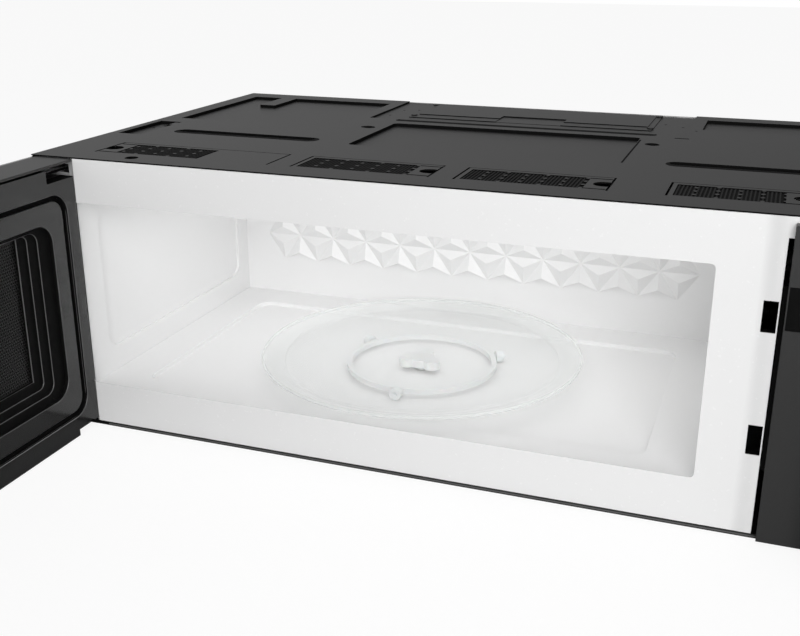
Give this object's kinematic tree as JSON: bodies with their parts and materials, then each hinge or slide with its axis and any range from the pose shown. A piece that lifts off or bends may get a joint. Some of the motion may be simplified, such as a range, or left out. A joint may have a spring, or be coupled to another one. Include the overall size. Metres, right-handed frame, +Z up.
{
  "type": "over-the-range microwave oven",
  "caption": "Low-profile over-the-range microwave oven with a side-hinged door swung open, glass turntable, white cavity and dark vented top cover.",
  "frame": {"origin": "middle of the cabinet's back face, where it lies against the wall", "axes": "+X to the right seen from the front, +Y into the wall, +Z up; the door opens towards -Y"},
  "size_m": [0.7858, 1.1169, 0.26],
  "materials": {
    "white_enamel": "glossy white enamel",
    "cavity_enamel": "satin light enamel",
    "dark_cover": "satin dark grey coating",
    "zinc_sheet": "plain zinc-coated sheet",
    "filter_mesh": "layered aluminium mesh",
    "clear_glass": "clear tempered glass",
    "lamp_glass": "frosted lamp glass",
    "charcoal": "granular charcoal mat",
    "screw_steel": "zinc-plated steel",
    "black_plastic": "matte black",
    "white_plastic": "natural white",
    "mica_card": "mica sheet",
    "fin_aluminium": "plain fins",
    "core_steel": "varnished laminations",
    "can_aluminium": "drawn can",
    "gloss_black": "high gloss black",
    "dark_glass": "black-backed tempered glass",
    "circuit_card": "green laminate",
    "perforated_steel": "black-coated perforated sheet",
    "window_film": "clear inner window sheet",
    "spring_steel": "bare wire"
  },
  "bodies": {
    "cabinet": {"front_frame": "white_enamel", "cavity_floor": "cavity_enamel", "cavity_ceiling": "cavity_enamel", "cavity_left_wall": "cavity_enamel", "cavity_right_wall": "cavity_enamel", "cavity_back_wall": "cavity_enamel", "left_side_panel": "dark_cover", "right_side_panel": "dark_cover", "back_panel": "zinc_sheet", "base_pan": "dark_cover", "grease_filters": "filter_mesh", "cooktop_lamp_lenses": "clear_glass", "cooktop_lamps": "lamp_glass", "top_cover": "dark_cover", "vent_grille_left": "dark_cover", "vent_grille_right": "dark_cover", "charcoal_filters": "charcoal", "blower_cover_plate": "dark_cover", "plate_screws": "screw_steel", "hanger_nuts": "screw_steel", "cord_bushing": "black_plastic", "upper_hinge_bracket": "screw_steel", "lower_hinge_bracket": "screw_steel", "waveguide": "zinc_sheet", "waveguide_cover": "mica_card", "magnetron": "fin_aluminium", "hv_transformer": "core_steel", "hv_capacitor": "can_aluminium", "magnetron_fan_frame": "zinc_sheet", "cavity_lamp": "lamp_glass", "latch_board": "white_plastic", "interlock_switches": "black_plastic", "turntable_motor": "zinc_sheet", "blower_housing": "zinc_sheet", "blower_motor": "core_steel", "control_housing": "gloss_black", "control_glass": "dark_glass", "control_board": "circuit_card", "display_module": "black_plastic"},
    "door": {"door_glass": "dark_glass", "door_frame": "gloss_black", "door_choke": "zinc_sheet", "door_screen": "perforated_steel", "choke_cover": "gloss_black", "door_inner_window": "window_film", "door_hinge_bushes": "white_plastic", "door_handle": "gloss_black", "latch_spring": "spring_steel"},
    "latch": {"door_latch": "black_plastic"},
    "turntable": {"tray_coupler": "white_plastic", "glass_tray": "clear_glass"},
    "roller_ring": {"roller_ring": "white_plastic"},
    "roller_one": {"roller_1": "white_plastic"},
    "roller_two": {"roller_2": "white_plastic"},
    "roller_three": {"roller_3": "white_plastic"},
    "magnetron_fan": {"magnetron_fan_blade": "white_plastic"},
    "blower_rotor": {"blower_shaft": "screw_steel", "blower_wheels": "black_plastic"},
    "upper_plunger": {"upper_switch_plunger": "white_plastic"},
    "lower_plunger": {"lower_switch_plunger": "white_plastic"}
  },
  "joints": [
    {"name": "door_hinge", "type": "hinge", "parent": "cabinet", "child": "door", "pos_m": [-0.35475, -0.4501, 0], "axis": [0, 0, -1], "range_deg": [-90, 5]},
    {"name": "latch_slide", "type": "slide", "parent": "door", "child": "latch", "axis": [0, 0, 1], "range_m": [0, 0.005], "stiffness_N_per_m": 150, "springref_m": -0.01, "deforming": ["latch_spring"]},
    {"name": "turntable_spin", "type": "hinge", "parent": "cabinet", "child": "turntable", "pos_m": [-0.05785, -0.2676, -0.08], "axis": [0, 0, 1], "continuous": true},
    {"name": "roller_ring_spin", "type": "hinge", "parent": "cabinet", "child": "roller_ring", "pos_m": [-0.05785, -0.2676, -0.08865], "axis": [0, 0, 1], "continuous": true},
    {"name": "roller_one_spin", "type": "hinge", "parent": "roller_ring", "child": "roller_one", "pos_m": [0.01121, -0.22528, -0.08865], "axis": [0.8526, 0.5225, 0], "continuous": true},
    {"name": "roller_two_spin", "type": "hinge", "parent": "roller_ring", "child": "roller_two", "pos_m": [-0.12903, -0.22895, -0.08865], "axis": [-0.8788, 0.4772, 0], "continuous": true},
    {"name": "roller_three_spin", "type": "hinge", "parent": "roller_ring", "child": "roller_three", "pos_m": [-0.05573, -0.34857, -0.08865], "axis": [0.0262, -0.9997, 0], "continuous": true},
    {"name": "magnetron_fan_spin", "type": "hinge", "parent": "cabinet", "child": "magnetron_fan", "pos_m": [0.30925, -0.1656, 0.02], "axis": [0, 1, 0], "continuous": true},
    {"name": "blower_spin", "type": "hinge", "parent": "cabinet", "child": "blower_rotor", "pos_m": [0, -0.0526, 0.036], "axis": [1, 0, 0], "continuous": true},
    {"name": "upper_plunger_slide", "type": "slide", "parent": "cabinet", "child": "upper_plunger", "axis": [1, 0, 0], "range_m": [0, 0.0012], "stiffness_N_per_m": 300},
    {"name": "lower_plunger_slide", "type": "slide", "parent": "cabinet", "child": "lower_plunger", "axis": [1, 0, 0], "range_m": [0, 0.0012], "stiffness_N_per_m": 300}
  ],
  "couplings": [
    {"joint": "roller_ring_spin", "follows": "turntable_spin", "ratio": 0.5},
    {"joint": "roller_one_spin", "follows": "turntable_spin", "ratio": -6.5854},
    {"joint": "roller_two_spin", "follows": "turntable_spin", "ratio": -6.5854},
    {"joint": "roller_three_spin", "follows": "turntable_spin", "ratio": -6.5854}
  ]
}
